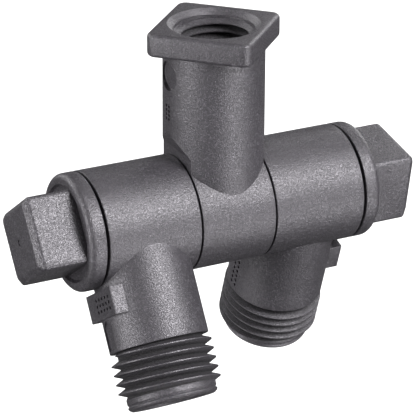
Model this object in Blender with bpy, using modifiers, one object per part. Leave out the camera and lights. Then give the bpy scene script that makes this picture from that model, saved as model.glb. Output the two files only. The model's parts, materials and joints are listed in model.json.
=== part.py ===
"""A double swivel hose splitter.

A threaded inlet riser stands on a short centre barrel. A swivelling outlet with a male
thread is clamped against each end of that barrel by a hollow bolt with a square head.

Metres, +Z up. The origin is the centre of the inlet's mouth, on the flange's top face.
The swivel axis runs along X below it. Both outlets are the same moulding, and so are both
bolts: the left ones are the right ones turned half round the riser.
"""

import math

import bmesh
import bpy
from mathutils import Matrix

MM = 0.001

# The tee: flange, riser and centre barrel
AXIS_DROP = 33.0 * MM
FLANGE_SIDE = 18.3 * MM
FLANGE_THICK = 4.0 * MM
FLANGE_TURN = math.radians(45)
FLANGE_ROUNDING = 0.8 * MM
RISER_RADIUS = 8.65 * MM
BARREL_RADIUS = 10.15 * MM
TEE_HALF_WIDTH = 6.95 * MM
RELIEF_BOTTOM = 11.35 * MM
RELIEF_SLOPE = math.tan(math.radians(60))
RECESS_RADIUS = 2.25 * MM
RECESS_DEPTH = 0.5 * MM
RECESS_BELOW_MOUTH = 8.0 * MM
RISER_BORE = 4.3 * MM

# The inlet's tapered female pipe thread
INLET_CHAMFER_RADIUS = 7.88 * MM
INLET_LEAD_RADIUS = 6.95 * MM
INLET_MAJOR = 6.55 * MM
INLET_MINOR = 5.65 * MM
INLET_PITCH = 25.4 / 18 * MM
INLET_TURNS = 8
INLET_DEPTH = 13.0 * MM
INLET_TAPER = 1 / 32

# The outlets
SEAM = 0.3 * MM
OUTLET_END = 24.1 * MM
TUBE_OFFSET = 15.9 * MM
TUBE_RADIUS = 8.55 * MM
TUBE_BORE = 5.4 * MM
SHOULDER = 21.3 * MM
TUBE_LENGTH = 31.45 * MM
OUTLET_MAJOR = 8.73 * MM
OUTLET_MINOR = 7.76 * MM
OUTLET_PITCH = 25.4 / 16 * MM
OUTLET_TURNS = 5
THREAD_START = 21.75 * MM
PILOT_RADIUS = 7.7 * MM
PILOT_CHAMFER = 0.5 * MM
CHAMBER_RADIUS = 7.2 * MM
CHAMBER_HALF_WIDTH = 3.6 * MM
SHANK_HOLE = 5.25 * MM
PAD_FACE = 24.5 * MM
PAD_HALF_WIDTH = 5.7 * MM
PAD_FROM = 10.6 * MM
PAD_TO = 15.4 * MM
LEFT_SWIVEL = math.radians(-32.7)
RIGHT_SWIVEL = math.radians(19)

# The bolts
COLLAR_INNER = 24.6 * MM
COLLAR_OUTER = 27.55 * MM
COLLAR_ROUNDING = 1.3 * MM
DISH_RADIUS = 8.4 * MM
DISH_DEPTH = 0.35 * MM
HEAD_SIDE = 12.7 * MM
HEAD_END = 36.05 * MM
HEAD_ROUNDING = 0.9 * MM
SHANK_RADIUS = 4.85 * MM
BOLT_TIP = 2.2 * MM
BOLT_MAJOR = 5.0 * MM
BOLT_MINOR = 4.23 * MM
BOLT_PITCH = 1.25 * MM
BOLT_TURNS = 3
BOLT_THREAD_START = 2.75 * MM
BOLT_THREAD_END = 6.3 * MM
BOLT_BORE = 2.6 * MM
BOLT_BORE_END = 19.0 * MM
CROSS_HOLE = 2.2 * MM
LEFT_HEAD_TURN = math.radians(-35.3)
RIGHT_HEAD_TURN = math.radians(10.6)

# The gaskets, and the seats they lie in
GASKET_INNER = 5.35 * MM
GASKET_OUTER = 8.8 * MM
GASKET_THICK = 1.0 * MM
SEAT_RADIUS = 9.0 * MM
SEAT_DEPTH = 0.9 * MM
REST_GAP = 0.1 * MM

# Fineness and clearances
ROUND_STEPS = 32
BORE_STEPS = 16
THREAD_STEPS = 16
THREAD_CLEARANCE = 0.17 * MM
CREST_FLAT = 1 / 8
FLANK = math.tan(math.radians(30))
RIDGE_SINK = 0.12 * MM
FADE_STEPS = 4
PAST = 1.0 * MM
MERGE = 0.001 * MM

CHARCOAL = (0.105, 0.100, 0.108, 1.0)
BLACK = (0.012, 0.012, 0.013, 1.0)


def clear_scene():
    for old in list(bpy.data.objects):
        bpy.data.objects.remove(old, do_unlink=True)


def new_collection(name, hidden=False):
    collection = bpy.data.collections.new(name)
    collection.hide_render = hidden
    bpy.context.scene.collection.children.link(collection)
    return collection


def new_material(name, colour, roughness):
    material = bpy.data.materials.new(name)
    material.use_nodes = True
    shader = material.node_tree.nodes["Principled BSDF"]
    shader.inputs["Base Color"].default_value = colour
    shader.inputs["Roughness"].default_value = roughness
    shader.inputs["Metallic"].default_value = 0.0
    material.diffuse_color = colour
    return material


def place(name, mesh, collection, parent=None, material=None):
    """Makes the object of a mesh. One with no material is a helper that only cuts or joins."""
    obj = bpy.data.objects.new(name, mesh)
    collection.objects.link(obj)
    obj.parent = parent
    if material:
        mesh.materials.append(material)
    else:
        obj.hide_render = True
        obj.display_type = "WIRE"
    return obj


def turn_profile(obj, steps, lift=0.0, turns=1):
    screw = obj.modifiers.new("Turn", "SCREW")
    screw.axis = "Z"
    screw.steps = steps
    screw.render_steps = steps
    screw.screw_offset = lift
    screw.iterations = turns
    screw.use_merge_vertices = lift == 0
    screw.merge_threshold = MERGE
    screw.use_smooth_shade = False


def turned(name, profile, collection, steps=ROUND_STEPS, ring=False, lying=False, **where):
    """Turns (radius, height) points, top first, about Z, or about X where the piece is lying."""
    count = len(profile)
    edges = [(i, i + 1) for i in range(count - 1)]
    if ring:
        edges.append((count - 1, 0))
    mesh = bpy.data.meshes.new(name)
    mesh.from_pydata([(radius, 0, height) for radius, height in profile], edges, [])
    obj = place(name, mesh, collection, **where)
    turn_profile(obj, steps)
    if lying:
        obj.rotation_euler.y = math.pi / 2
    return obj


def block(name, size, centre, collection, turn=None, rounding=0.0, **where):
    """A box with its edges rounded, turned before it is moved to its centre."""
    cube = bmesh.new()
    bmesh.ops.create_cube(cube, size=1, matrix=Matrix.Diagonal((*size, 1)))
    cube.transform(Matrix.Translation(centre) @ (turn or Matrix()))
    mesh = bpy.data.meshes.new(name)
    cube.to_mesh(mesh)
    cube.free()
    obj = place(name, mesh, collection, **where)
    if rounding:
        bevel = obj.modifiers.new("Rounded edges", "BEVEL")
        bevel.width = rounding
        bevel.segments = 2
        bevel.limit_method = "NONE"
    return obj


def ridge_profile(root, crest, pitch):
    """The closed outline of a 60 degree thread's ridge, sunk a little below its root."""
    crest_half = pitch * CREST_FLAT / 2
    base = root - RIDGE_SINK
    base_half = crest_half + (crest - base) * FLANK
    return [(base, -base_half), (crest, -crest_half), (crest, crest_half), (base, base_half)]


def thread_ridge(name, root, crest, pitch, start, turns, collection, taper=0.0, lying=False, **where):
    """A right-hand helical ridge from start upwards, fading out over its first and last steps."""
    outline = ridge_profile(root, crest, pitch)
    draft = bpy.data.meshes.new(name)
    count = len(outline)
    edges = [(i, (i + 1) % count) for i in range(count)]
    draft.from_pydata([(radius, 0, start + height) for radius, height in outline], edges, [])
    guide = place(name + "_guide", draft, collection)
    turn_profile(guide, THREAD_STEPS, lift=pitch, turns=turns)
    graph = bpy.context.evaluated_depsgraph_get()
    mesh = bpy.data.meshes.new_from_object(guide.evaluated_get(graph))
    bpy.data.objects.remove(guide)

    last = THREAD_STEPS * turns
    lowest = root - RIDGE_SINK / 2
    for index, vertex in enumerate(mesh.vertices):
        step, corner = divmod(index, count)
        wanted = outline[corner][0]
        fade = min(1, step / FADE_STEPS, (last - step) / FADE_STEPS)
        if wanted > root:
            wanted = lowest + (wanted - lowest) * fade
        wanted += vertex.co.z * taper
        scale = wanted / math.hypot(vertex.co.x, vertex.co.y)
        vertex.co.x *= scale
        vertex.co.y *= scale

    closed = bmesh.new()
    closed.from_mesh(mesh)
    open_edges = [edge for edge in closed.edges if edge.is_boundary]
    bmesh.ops.holes_fill(closed, edges=open_edges, sides=count)
    bmesh.ops.recalc_face_normals(closed, faces=closed.faces)
    closed.to_mesh(mesh)
    closed.free()
    obj = place(name, mesh, collection, **where)
    if lying:
        obj.rotation_euler.y = math.pi / 2
    return obj


def rounded_corner(radius, height, rounding, steps=3):
    """The (radius, height) points of a rounded outer top corner, from its top to its side."""
    points = []
    for step in range(steps + 1):
        angle = math.pi / 2 * (1 - step / steps)
        across = radius - rounding + rounding * math.cos(angle)
        points.append((across, height - rounding + rounding * math.sin(angle)))
    return points


def combine(obj, other, operation):
    """Joins a helper to a piece, or cuts it out of the piece."""
    boolean = obj.modifiers.new(other.name, "BOOLEAN")
    boolean.operation = operation
    boolean.solver = "EXACT"
    boolean.object = other


def side_empty(name, side, angle, collection):
    """An empty on the swivel axis, facing its side and turned about that axis."""
    empty = bpy.data.objects.new(name, None)
    empty.empty_display_size = BARREL_RADIUS
    empty.location.z = -AXIS_DROP
    empty.rotation_euler = (side * angle, 0, 0 if side > 0 else math.pi)
    collection.objects.link(empty)
    return empty


def make_inlet_tee(pieces, helpers, bolt_axes, material):
    top = -FLANGE_THICK / 2
    riser_profile = [(0, top), (RISER_RADIUS, top), (RISER_RADIUS, -AXIS_DROP), (0, -AXIS_DROP)]
    tee = turned("inlet_tee", riser_profile, pieces, material=material)

    flange_size = (FLANGE_SIDE, FLANGE_SIDE, FLANGE_THICK)
    flange_centre = (0, 0, -FLANGE_THICK / 2)
    quarter = Matrix.Rotation(FLANGE_TURN, 4, "Z")
    flange = block("flange", flange_size, flange_centre, helpers, quarter, FLANGE_ROUNDING)
    combine(tee, flange, "UNION")

    half = TEE_HALF_WIDTH + PAST
    barrel_profile = [(0, half), (BARREL_RADIUS, half), (BARREL_RADIUS, -half), (0, -half)]
    barrel = turned("centre_barrel", barrel_profile, helpers, lying=True)
    barrel.location.z = -AXIS_DROP
    combine(tee, barrel, "UNION")

    for side in (-1, 1):
        combine(tee, side_relief(side, helpers), "DIFFERENCE")

    seat = TEE_HALF_WIDTH - SEAT_DEPTH
    far = half + PAST
    thread_minor = BOLT_MINOR + THREAD_CLEARANCE
    mouth = BOLT_MAJOR + THREAD_CLEARANCE
    mouth_end = seat - (mouth - thread_minor)
    cross_profile = [(0, far), (SEAT_RADIUS, far), (SEAT_RADIUS, seat), (mouth, seat), (thread_minor, mouth_end)]
    cross_profile += [(radius, -height) for radius, height in reversed(cross_profile)]
    cross_bore = turned("cross_bore", cross_profile, helpers, steps=ROUND_STEPS, lying=True)
    cross_bore.location.z = -AXIS_DROP
    combine(tee, cross_bore, "DIFFERENCE")

    lead = INLET_CHAMFER_RADIUS - INLET_LEAD_RADIUS
    end_minor = INLET_MINOR - INLET_DEPTH * INLET_TAPER
    inlet_profile = [
        (0, PAST),
        (INLET_CHAMFER_RADIUS + PAST, PAST),
        (INLET_LEAD_RADIUS, -lead),
        (INLET_MINOR - lead * INLET_TAPER, -lead),
        (end_minor, -INLET_DEPTH),
        (RISER_BORE, -INLET_DEPTH - (end_minor - RISER_BORE)),
        (RISER_BORE, -AXIS_DROP),
        (0, -AXIS_DROP),
    ]
    inlet = turned("inlet_bore", inlet_profile, helpers, steps=ROUND_STEPS)
    combine(tee, inlet, "DIFFERENCE")

    start = -lead - INLET_PITCH * (INLET_TURNS - 0.25)
    groove = thread_ridge(
        "inlet_thread", INLET_MINOR, INLET_MAJOR, INLET_PITCH, start, INLET_TURNS, helpers, INLET_TAPER
    )
    combine(tee, groove, "DIFFERENCE")

    for name, axis in bolt_axes.items():
        groove = thread_ridge(
            name + "_bolt_thread_cut",
            BOLT_MINOR + THREAD_CLEARANCE,
            BOLT_MAJOR + THREAD_CLEARANCE,
            BOLT_PITCH,
            BOLT_THREAD_START - BOLT_PITCH,
            BOLT_TURNS + 1,
            helpers,
            lying=True,
            parent=axis,
        )
        combine(tee, groove, "DIFFERENCE")

    recess_floor = RISER_RADIUS - RECESS_DEPTH
    recess_profile = [
        (0, -recess_floor),
        (RECESS_RADIUS, -recess_floor),
        (RECESS_RADIUS, -RISER_RADIUS - PAST),
        (0, -RISER_RADIUS - PAST),
    ]
    recess = turned("riser_recess", recess_profile, helpers, steps=BORE_STEPS, lying=True)
    recess.location.z = -RECESS_BELOW_MOUTH
    combine(tee, recess, "DIFFERENCE")


def side_relief(side, helpers):
    """What is cut away beside the centre barrel, up to the slanted underside of the riser."""
    reach = 2 * BARREL_RADIUS
    width = reach / 2
    name = "left_relief" if side < 0 else "right_relief"
    middle = TEE_HALF_WIDTH + width / 2
    relief = block(name, (width, 2 * reach, reach), (0, 0, -reach / 2), helpers)
    for vertex in relief.data.vertices:
        if vertex.co.z > -reach / 2:
            vertex.co.z = RELIEF_BOTTOM + (side * vertex.co.x + width / 2) * RELIEF_SLOPE
    relief.location = (side * middle, 0, -AXIS_DROP)
    return relief


def make_outlet(name, axis, pieces, helpers, material):
    neck = THREAD_START - SHOULDER
    thread_end = THREAD_START + OUTLET_TURNS * OUTLET_PITCH
    tube_profile = [
        (0, 0),
        (TUBE_RADIUS, 0),
        (TUBE_RADIUS, -SHOULDER),
        (OUTLET_MINOR, -SHOULDER),
        (OUTLET_MINOR, -thread_end + neck),
        (PILOT_RADIUS, -thread_end),
        (PILOT_RADIUS, -TUBE_LENGTH + PILOT_CHAMFER),
        (PILOT_RADIUS - PILOT_CHAMFER, -TUBE_LENGTH),
        (0, -TUBE_LENGTH),
    ]
    outlet = turned(name, tube_profile, pieces, parent=axis, material=material)
    outlet.location.x = TUBE_OFFSET

    near = TEE_HALF_WIDTH + SEAM
    barrel_profile = [(0, OUTLET_END), (BARREL_RADIUS, OUTLET_END), (BARREL_RADIUS, near), (0, near)]
    barrel = turned(name + "_barrel", barrel_profile, helpers, lying=True, parent=axis)
    combine(outlet, barrel, "UNION")

    pad_depth = TUBE_RADIUS
    pad_size = (pad_depth, 2 * PAD_HALF_WIDTH, PAD_TO - PAD_FROM)
    pad_centre = (PAD_FACE - pad_depth / 2, 0, -(PAD_FROM + PAD_TO) / 2)
    pad = block(name + "_pad", pad_size, pad_centre, helpers, parent=axis)
    combine(outlet, pad, "UNION")

    top = -THREAD_START - OUTLET_TURNS * OUTLET_PITCH
    ridge = thread_ridge(
        name + "_thread", OUTLET_MINOR, OUTLET_MAJOR, OUTLET_PITCH, top, OUTLET_TURNS, helpers, parent=axis
    )
    ridge.location.x = TUBE_OFFSET
    combine(outlet, ridge, "UNION")

    seat = OUTLET_END - SEAT_DEPTH
    chamber_out = TUBE_OFFSET + CHAMBER_HALF_WIDTH
    chamber_in = TUBE_OFFSET - CHAMBER_HALF_WIDTH
    bore_profile = [
        (0, OUTLET_END + PAST),
        (SEAT_RADIUS, OUTLET_END + PAST),
        (SEAT_RADIUS, seat),
        (SHANK_HOLE, seat),
        (SHANK_HOLE, chamber_out),
        (CHAMBER_RADIUS, chamber_out),
        (CHAMBER_RADIUS, chamber_in),
        (SHANK_HOLE, chamber_in),
        (SHANK_HOLE, near - PAST),
        (0, near - PAST),
    ]
    bore = turned(name + "_bolt_hole", bore_profile, helpers, lying=True, parent=axis)
    combine(outlet, bore, "DIFFERENCE")

    tube_end = -TUBE_LENGTH - PAST
    passage_profile = [(0, 0), (TUBE_BORE, 0), (TUBE_BORE, tube_end), (0, tube_end)]
    passage = turned(name + "_passage", passage_profile, helpers, parent=axis)
    passage.location.x = TUBE_OFFSET
    combine(outlet, passage, "DIFFERENCE")


def make_bolt(name, axis, pieces, helpers, material):
    base = COLLAR_OUTER - DISH_DEPTH
    bolt_profile = [(0, base), (DISH_RADIUS, base)]
    bolt_profile += rounded_corner(BARREL_RADIUS, COLLAR_OUTER, COLLAR_ROUNDING)
    bolt_profile += [
        (BARREL_RADIUS, COLLAR_INNER),
        (SHANK_RADIUS, COLLAR_INNER),
        (SHANK_RADIUS, BOLT_THREAD_END + SHANK_RADIUS - BOLT_MINOR),
        (BOLT_MINOR, BOLT_THREAD_END),
        (BOLT_MINOR, BOLT_TIP),
        (BOLT_BORE, BOLT_TIP),
        (BOLT_BORE, BOLT_BORE_END),
        (0, BOLT_BORE_END + BOLT_BORE * FLANK),
    ]
    bolt = turned(name, bolt_profile, pieces, lying=True, parent=axis, material=material)

    head_from = COLLAR_INNER + (COLLAR_OUTER - COLLAR_INNER) / 2
    head_size = (HEAD_END - head_from, HEAD_SIDE, HEAD_SIDE)
    head_centre = ((HEAD_END + head_from) / 2, 0, 0)
    head = block(name + "_head", head_size, head_centre, helpers, None, HEAD_ROUNDING, parent=axis)
    combine(bolt, head, "UNION")

    ridge = thread_ridge(
        name + "_thread",
        BOLT_MINOR,
        BOLT_MAJOR,
        BOLT_PITCH,
        BOLT_THREAD_START,
        BOLT_TURNS,
        helpers,
        lying=True,
        parent=axis,
    )
    combine(bolt, ridge, "UNION")

    reach = SHANK_RADIUS + PAST
    hole_profile = [(0, reach), (CROSS_HOLE, reach), (CROSS_HOLE, -reach), (0, -reach)]
    for index, angle in enumerate((0, math.pi / 2)):
        hole = turned(f"{name}_cross_hole_{index}", hole_profile, helpers, BORE_STEPS, parent=axis)
        hole.location.x = TUBE_OFFSET
        hole.rotation_euler.x = angle
        combine(bolt, hole, "DIFFERENCE")


def make_gasket(name, outer_face, axis, pieces, material):
    back = outer_face - GASKET_THICK
    ring = [(GASKET_OUTER, outer_face), (GASKET_OUTER, back), (GASKET_INNER, back), (GASKET_INNER, outer_face)]
    turned(name, ring, pieces, ring=True, lying=True, parent=axis, material=material)


def main():
    clear_scene()
    pieces = new_collection("hose_splitter")
    helpers = new_collection("cutters", hidden=True)

    sides = {"left": (-1, LEFT_SWIVEL, LEFT_HEAD_TURN), "right": (1, RIGHT_SWIVEL, RIGHT_HEAD_TURN)}
    swivel_axes = {}
    bolt_axes = {}
    for name, (side, swivel, head_turn) in sides.items():
        swivel_axes[name] = side_empty(name + "_swivel_axis", side, swivel, pieces)
        bolt_axes[name] = side_empty(name + "_bolt_axis", side, head_turn, pieces)

    nylon = new_material("inlet_tee_nylon", CHARCOAL, 0.5)
    make_inlet_tee(pieces, helpers, bolt_axes, nylon)
    for name in sides:
        nylon = new_material(name + "_outlet_nylon", CHARCOAL, 0.5)
        make_outlet(name + "_outlet", swivel_axes[name], pieces, helpers, nylon)
        nylon = new_material(name + "_bolt_nylon", CHARCOAL, 0.5)
        make_bolt(name + "_bolt", bolt_axes[name], pieces, helpers, nylon)
        inner_face = TEE_HALF_WIDTH + SEAM - REST_GAP
        outer_face = COLLAR_INNER - REST_GAP
        for gasket, face in (("_inner_gasket", inner_face), ("_outer_gasket", outer_face)):
            rubber = new_material(name + gasket + "_rubber", BLACK, 0.6)
            make_gasket(name + gasket, face, bolt_axes[name], pieces, rubber)


if __name__ == "__main__":
    main()
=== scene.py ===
import json
import math
from functools import partial

import bmesh
import bpy
from mathutils import Matrix, Vector


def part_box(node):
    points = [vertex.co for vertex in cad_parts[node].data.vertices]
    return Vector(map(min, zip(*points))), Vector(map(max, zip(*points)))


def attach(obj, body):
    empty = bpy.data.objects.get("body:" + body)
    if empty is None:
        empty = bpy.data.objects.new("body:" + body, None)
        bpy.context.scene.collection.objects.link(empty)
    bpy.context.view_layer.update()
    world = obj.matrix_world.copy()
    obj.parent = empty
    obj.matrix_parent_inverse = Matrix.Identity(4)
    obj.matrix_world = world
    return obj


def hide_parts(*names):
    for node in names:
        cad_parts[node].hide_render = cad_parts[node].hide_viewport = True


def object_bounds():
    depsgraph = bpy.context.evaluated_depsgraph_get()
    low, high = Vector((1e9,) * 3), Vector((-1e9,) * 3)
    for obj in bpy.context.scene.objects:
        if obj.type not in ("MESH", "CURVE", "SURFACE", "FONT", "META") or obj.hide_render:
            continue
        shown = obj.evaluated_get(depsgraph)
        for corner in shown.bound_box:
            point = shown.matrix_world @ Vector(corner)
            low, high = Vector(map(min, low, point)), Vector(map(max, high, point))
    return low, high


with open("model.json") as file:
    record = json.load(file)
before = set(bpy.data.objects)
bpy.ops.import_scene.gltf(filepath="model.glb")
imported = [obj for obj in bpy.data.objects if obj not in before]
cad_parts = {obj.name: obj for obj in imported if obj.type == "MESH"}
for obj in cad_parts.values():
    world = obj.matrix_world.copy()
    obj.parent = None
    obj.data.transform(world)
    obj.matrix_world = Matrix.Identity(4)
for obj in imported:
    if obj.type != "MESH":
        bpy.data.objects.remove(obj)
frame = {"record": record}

bl_info = {
    "name": "Double swivel hose splitter",
    "version": (1, 0, 0),
    "blender": (4, 5, 0),
    "location": "3D View > Sidebar > Splitter",
    "description": "Builds the finished surfaces of a double swivel hose splitter around its CAD frame",
    "category": "Object",
}

MM = 0.001
CAD_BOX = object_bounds()
SIDES = ("left", "right")
UP = Vector((0, 0, 1))

# Gaps between neighbouring parts, and small sizes that more than one of them shares.
GASKET_GAP = 0.1 * MM
COLLAR_GAP = 0.5 * MM
BARREL_GAP = 0.3 * MM
SEAT_DEPTH = 0.9 * MM
SEAT_RADIUS = 9.0 * MM
SEAT_ROUNDING = 0.1 * MM
GASKET_HOLE = 5.35 * MM
GASKET_ROUNDING = 0.2 * MM
THREAD_CLEARANCE = 0.17 * MM
THREAD_RUN_IN = 0.35 * MM
INLET_TAPER = 1 / 32

# Places that come from the frame. The swivel axis lies along X, and the right outlet on its positive side.
JOINTS = {joint["name"]: joint for joint in frame["record"]["behaviour"]["joints"]}
MOUNTS = {mount["name"]: mount for mount in frame["record"]["mounts"]}
AXIS_HEIGHT = JOINTS["right_outlet_swivel"]["pos_m"][2]
TUBE_OFFSET = JOINTS["right_outlet_swivel"]["pos_m"][0]
BARREL_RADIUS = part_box("right_bolt")[1].z - AXIS_HEIGHT
BOLT_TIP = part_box("right_bolt")[0].x
HEAD_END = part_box("right_bolt")[1].x
COLLAR_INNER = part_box("right_outer_gasket")[1].x + GASKET_GAP
OUTLET_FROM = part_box("right_outlet")[0].x
OUTLET_TO = COLLAR_INNER - COLLAR_GAP
PAD_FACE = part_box("right_outlet")[1].x
TEE_HALF = OUTLET_FROM - BARREL_GAP

# The bead round a tube's end, from its upper edge down: out from the plain end, up from the tube's end, and
# rounding, all in millimetres.
TUBE_BEAD = [(0, 1.25, 0.1), (-0.22, 1.0, 0.08), (0.04, 0.7, 0.1), (-0.1, 0.35, 0.15), (-0.55, 0, 0.15)]

# Bearing and height of each lamp in degrees, the bearing 0 lying towards -Y, and its strength.
LAMPS = {
    "key": (29, 36, 4.8),
    "low": (25, -25, 2.0),
    "top": (30, 70, 0.9),
    "side": (-92, 8, 2.5),
    "low_side": (-80, -25, 1.0),
    "back": (-155, 25, 1.3),
    "far_side": (125, 20, 1.0),
}


def swivel_angle(side):
    """How far an outlet is turned about +X from straight down, read from its end's direction."""
    axis = MOUNTS[side + "_outlet_end"]["axis"]
    return math.atan2(axis[1], -axis[2])


def towards(bearing, height):
    """The direction of what stands at this bearing and height, the bearing 0 lying towards -Y."""
    flat = math.cos(height)
    return Vector((math.sin(bearing) * flat, -math.cos(bearing) * flat, math.sin(height)))


# ---------------------------------------------------------------- settings


def length(name, description, millimetres):
    """A size, whose default is given in millimetres."""
    return bpy.props.FloatProperty(
        name=name, description=description, default=millimetres * MM, min=0, precision=5, unit="LENGTH"
    )


def colour(name, description, red, green, blue):
    """An opaque colour."""
    shade = (red, green, blue, 1)
    return bpy.props.FloatVectorProperty(
        name=name, description=description, subtype="COLOR", size=4, min=0, max=1, default=shade
    )


def angle(name, description, degrees):
    """An angle, whose default is given in degrees."""
    return bpy.props.FloatProperty(
        name=name, description=description, default=math.radians(degrees), subtype="ANGLE", unit="ROTATION"
    )


def number(name, description, default):
    """A number with no unit."""
    return bpy.props.FloatProperty(name=name, description=description, default=default)


def count(name, description, default, least):
    """A whole number that is never under least."""
    return bpy.props.IntProperty(name=name, description=description, default=default, min=least)


class SplitterTee(bpy.types.PropertyGroup):
    """Sizes of the tee: flange, riser and centre barrel."""

    flange_side: length("Flange side", "Width across the flange's flats", 18.3)
    flange_thickness: length("Flange thickness", "Height of the flange", 4.0)
    flange_corner: length("Flange corner", "Rounding of the flange's upright corners", 1.7)
    flange_edge: length("Flange edge", "Rounding of the flange's top and bottom edges", 0.65)
    riser_radius: length("Riser radius", "Radius of the upright riser", 8.65)
    riser_bore: length("Riser bore", "Radius of the water passage under the inlet", 4.3)
    relief_bottom: length("Relief bottom", "Height of the riser's slanted underside above the axis", 11.35)
    relief_slope: angle("Relief slope", "Slope of that underside", 60)
    recess_radius: length("Recess radius", "Radius of the round recess in the riser", 2.55)
    recess_depth: length("Recess depth", "Depth of that recess", 0.8)
    recess_drop: length("Recess drop", "Distance of the recess below the mouth", 8.0)
    inlet_lip: length("Inlet lip", "Radius of the inlet's chamfer at the top", 7.88)
    inlet_lead: length("Inlet lead", "Radius of the inlet where its thread starts", 6.95)
    inlet_depth: length("Inlet depth", "Depth of the threaded inlet", 13.0)


class SplitterOutlet(bpy.types.PropertyGroup):
    """Sizes of an outlet: swivel barrel, tube and marking pad."""

    tube_radius: length("Tube radius", "Outer radius of the outlet's tube", 8.55)
    tube_bore: length("Tube bore", "Radius of the tube's water passage", 5.4)
    shoulder: length("Shoulder", "Distance of the thread's shoulder from the swivel axis", 21.3)
    tube_length: length("Tube length", "Distance of the tube's end from the swivel axis", 31.45)
    pilot_radius: length("Pilot radius", "Radius of the plain end below the thread", 7.7)
    pad_half: length("Pad half width", "Half the width of the marking pad", 5.7)
    pad_top: length("Pad top", "Distance of the pad's upper edge from the swivel axis", 10.6)
    pad_bottom: length("Pad bottom", "Distance of the pad's lower edge from the swivel axis", 15.4)
    channel_half: length("Channel half width", "Half the width of the sunk channel under the pad", 1.6)
    channel_depth: length("Channel depth", "Depth of that channel", 0.35)
    chamber_radius: length("Chamber radius", "Radius of the ring-shaped water chamber", 7.2)
    chamber_half: length("Chamber half width", "Half the width of that chamber", 3.6)
    shank_hole: length("Bolt hole", "Radius of the hole that the bolt passes through", 5.25)


class SplitterBolt(bpy.types.PropertyGroup):
    """Sizes of a clamping bolt."""

    collar_thickness: length("Collar thickness", "Thickness of the round collar", 2.95)
    collar_rounding: length("Collar rounding", "Rounding of the collar's outer rim", 1.3)
    dish_radius: length("Dish radius", "Radius of the dish round the head", 8.5)
    dish_depth: length("Dish depth", "Depth of that dish", 0.55)
    head_side: length("Head side", "Width across the head's flats", 12.7)
    head_chamfer: length("Head chamfer", "Chamfer round the head's end", 1.0)
    head_edge: length("Head edge", "Rounding of the head's long edges", 0.8)
    shank_radius: length("Shank radius", "Radius of the plain shank", 4.85)
    bore_radius: length("Bore radius", "Radius of the bolt's own water passage", 2.6)
    bore_end: length("Bore end", "Distance of that passage's end from the tee's middle", 19.0)
    cross_hole: length("Cross hole radius", "Radius of the four cross holes", 2.2)
    left_turn: angle("Left head turn", "Turn of the left bolt's head about the swivel axis", -35.3)
    right_turn: angle("Right head turn", "Turn of the right bolt's head about the swivel axis", 10.6)


class SplitterThreads(bpy.types.PropertyGroup):
    """Sizes of the three threads, and the fineness of the turned shapes."""

    outlet_major: length("Outlet crest radius", "Radius of the outlet thread's crests", 8.78)
    outlet_root: length("Outlet root radius", "Radius of the outlet thread's roots", 7.4)
    outlet_pitch: length("Outlet pitch", "Pitch of the outlet thread, 16 to the inch", 25.4 / 16)
    outlet_turns: number("Outlet turns", "Turns of the outlet thread", 4.85)
    inlet_major: length("Inlet groove radius", "Radius of the inlet thread's grooves", 6.75)
    inlet_minor: length("Inlet crest radius", "Radius of the inlet thread's crests", 5.7)
    inlet_pitch: length("Inlet pitch", "Pitch of the inlet thread, 18 to the inch", 25.4 / 18)
    inlet_turns: number("Inlet turns", "Turns of the inlet thread", 8.0)
    bolt_major: length("Bolt crest radius", "Radius of the bolt thread's crests", 5.0)
    bolt_root: length("Bolt root radius", "Radius of the bolt thread's roots", 4.23)
    bolt_pitch: length("Bolt pitch", "Pitch of the bolt thread", 1.25)
    bolt_turns: number("Bolt turns", "Turns of the bolt thread", 3.0)
    round_steps: count("Round steps", "Facets round a turned shape", 144, 16)
    thread_steps: count("Thread steps", "Facets in one turn of a thread", 72, 12)


class SplitterFinish(bpy.types.PropertyGroup):
    """Colours and grain of the moulded nylon and the rubber."""

    nylon: colour("Nylon", "Colour of the moulded nylon", 0.0250, 0.0228, 0.0270)
    nylon_light: colour("Nylon specks", "Colour of the light specks in the nylon", 0.15, 0.14, 0.16)
    rubber: colour("Rubber", "Colour of the gaskets", 0.010, 0.010, 0.011)
    grain_size: length("Grain size", "Width of one grain of the moulded texture", 0.23)
    grain_depth: length("Grain depth", "Height of that grain", 0.09)
    grain_contrast: number("Grain contrast", "Light to dark in the grain", 0.7)
    specks: number("Specks", "How much the light specks show", 0.35)
    roughness: number("Roughness", "Mean roughness of the nylon", 0.42)


class SplitterStage(bpy.types.PropertyGroup):
    """Camera, floor and lights."""

    azimuth: angle("Azimuth", "The camera's bearing, 0 looking along +Y", -27.114)
    elevation: angle("Elevation", "The camera's height above the horizon", 23.315)
    roll: angle("Roll", "The camera's turn about its own line of sight", 0.312)
    distance: length("Distance", "From the camera to the middle of the swivel barrel", 461.8)
    lens: number("Lens", "Focal length in millimetres", 232.98)
    shift_x: number("Shift X", "Sideways shift of the lens", -0.0122)
    shift_y: number("Shift Y", "Upward shift of the lens", -0.0076)
    floor_gap: length("Floor gap", "Height of the held splitter above the floor", 70)
    floor: colour("Floor", "Colour of the floor", 0.93, 0.93, 0.93)
    sky: number("Sky", "Strength of the even light all round", 0.12)
    light: number("Light", "Factor on the strength of every lamp", 1.0)
    softness: angle("Softness", "How wide each lamp looks from the splitter", 32)


# ---------------------------------------------------------------- meshes

ARC_STEPS = 5
CORNER_STEPS = 4
UPRIGHT_BEVEL_STEPS = 5
OTHER_BEVEL_STEPS = 4
LONGEST_RUN = 1.2 * MM
SAME_POINT = 1e-7
CLOSE_POINTS = 1e-6
SHARPEST_SMOOTH = math.radians(32)


def mesh_from(name, solid):
    """A new mesh from a bmesh, which is freed."""
    mesh = bpy.data.meshes.new(name)
    solid.to_mesh(mesh)
    solid.free()
    return mesh


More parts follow.
